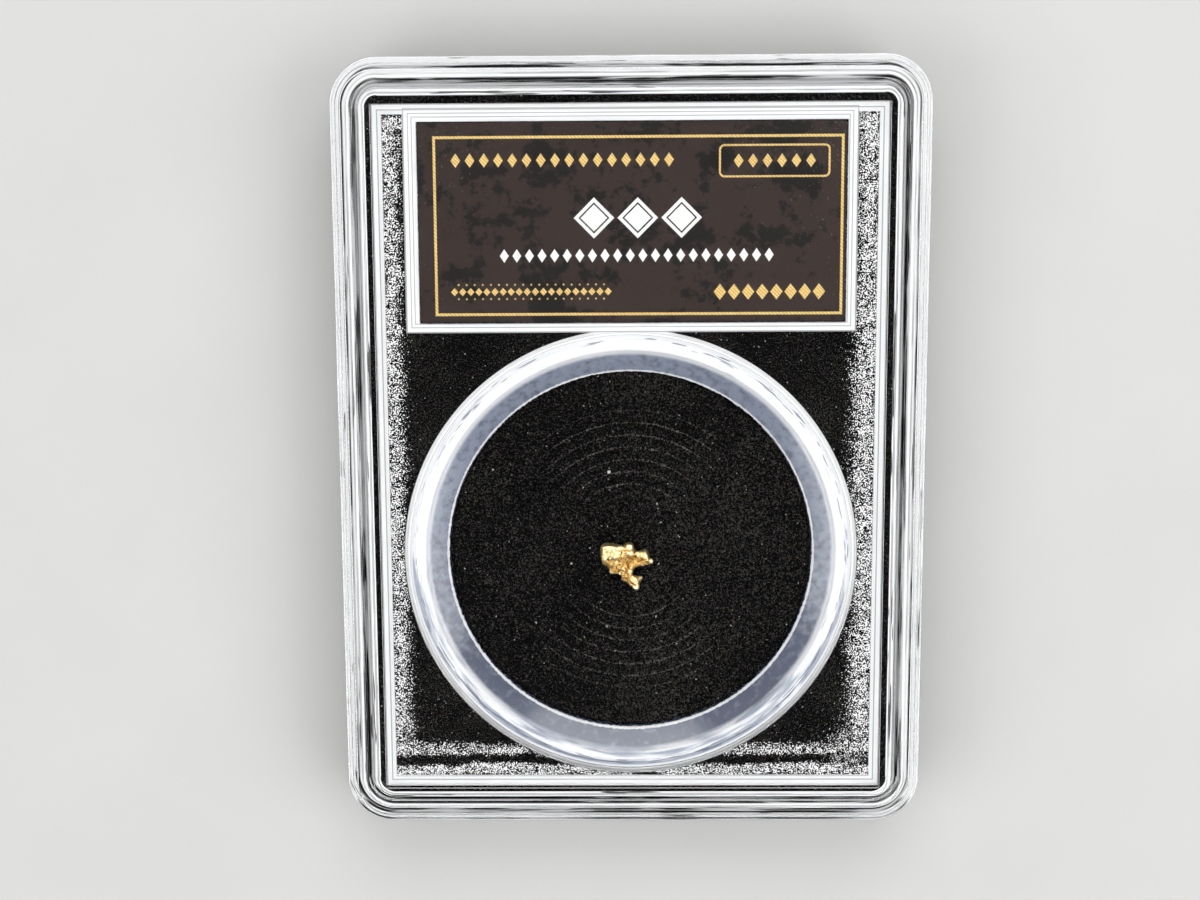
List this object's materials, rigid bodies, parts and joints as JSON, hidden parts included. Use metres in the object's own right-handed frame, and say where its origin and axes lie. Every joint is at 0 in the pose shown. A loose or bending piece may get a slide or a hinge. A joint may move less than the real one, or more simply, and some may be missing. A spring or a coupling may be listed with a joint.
{
  "type": "gold nugget in a clear display slab",
  "caption": "Small natural gold nugget lying on black foam inside a milky gasket ring, sealed with a printed label card in a clear rectangular plastic slab with a stepped rim",
  "frame": {"origin": "centre of the slab's outline, on the surface that it lies on", "axes": "+X across the slab, +Y along it towards the label end, +Z out of its front face"},
  "size_m": [0.063, 0.083, 0.009],
  "materials": {
    "clear_plastic": "clear polished polystyrene, pebbled around the window, frosted on its ribs",
    "black_foam": "fine-celled matt black foam with pale dust specks",
    "milky_silicone": "translucent bluish silicone, soft gloss",
    "printed_card": "near-black coated card with gold and white ornament printed flat",
    "natural_gold": "bright water-worn native gold, duller in the hollows"
  },
  "bodies": {
    "root": {"front_shell": "clear_plastic", "back_shell": "clear_plastic", "foam_mat": "black_foam", "foam_disc": "black_foam", "gasket_ring": "milky_silicone", "label_card": "printed_card", "gold_nugget": "natural_gold"}
  },
  "joints": []
}
